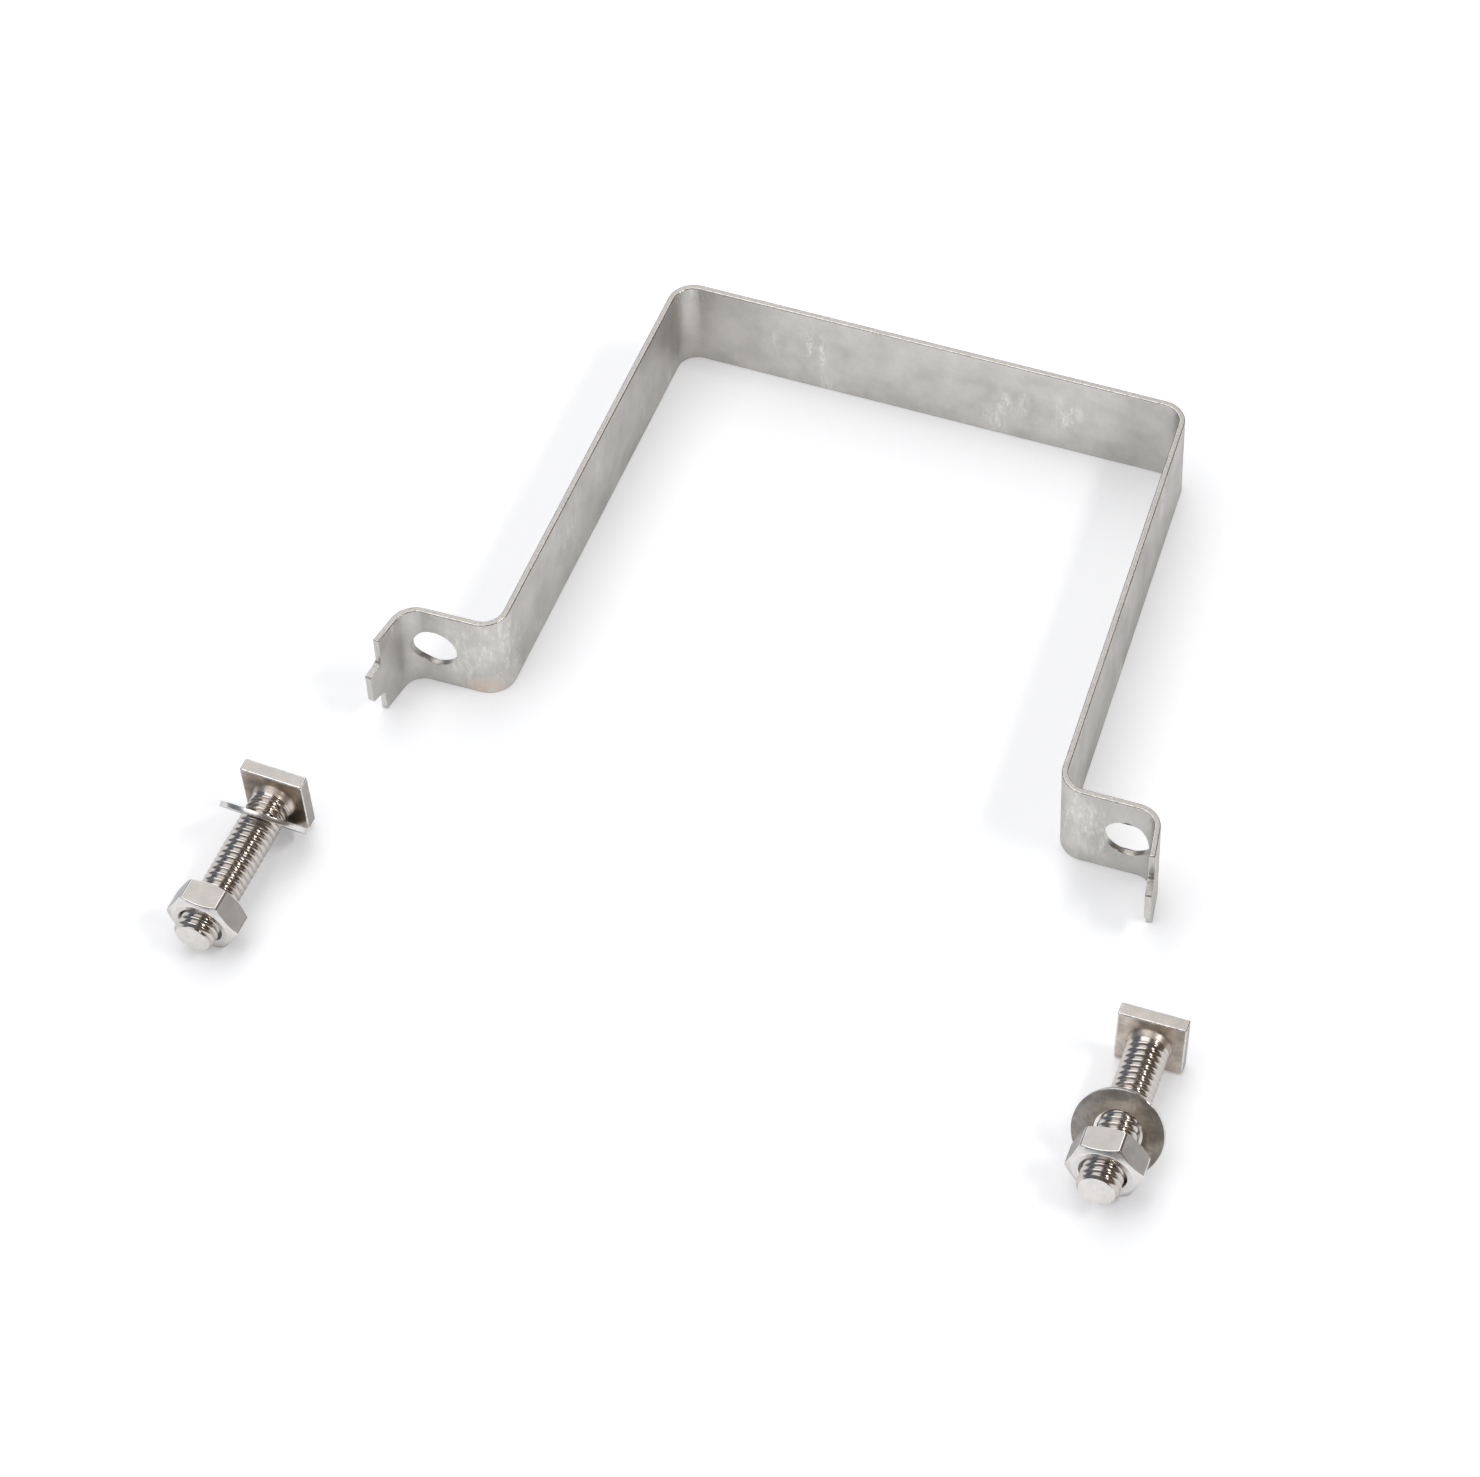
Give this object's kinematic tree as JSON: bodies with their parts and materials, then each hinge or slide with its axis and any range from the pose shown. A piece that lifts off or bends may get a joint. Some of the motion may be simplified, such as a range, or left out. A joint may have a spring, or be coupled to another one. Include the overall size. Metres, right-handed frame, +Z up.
{
  "type": "sign post clamp",
  "caption": "Folded stainless strip clip for fixing a sign to a square post, lying with its square-headed bolts, washers and nuts.",
  "frame": {"origin": "the middle of the web, halfway through the strip's thickness, on the edge that the clip stands on", "axes": "+X along the web towards the splayed leg, +Y out of the web's back, away from the feet, +Z up across the strip's width"},
  "size_m": [0.1885, 0.1728, 0.02],
  "materials": {
    "strip_steel": "satin mill-finished stainless strip with soft mottling and fine scuffs",
    "fastener_steel": "bright smooth stainless, cold formed",
    "washer_steel": "dull stainless, tumbled, with brownish mottling"
  },
  "bodies": {
    "root": {"clip": "strip_steel", "left_bolt": "fastener_steel", "left_washer": "washer_steel", "left_nut": "fastener_steel", "right_bolt": "fastener_steel", "right_washer": "washer_steel", "right_nut": "fastener_steel"}
  },
  "joints": []
}
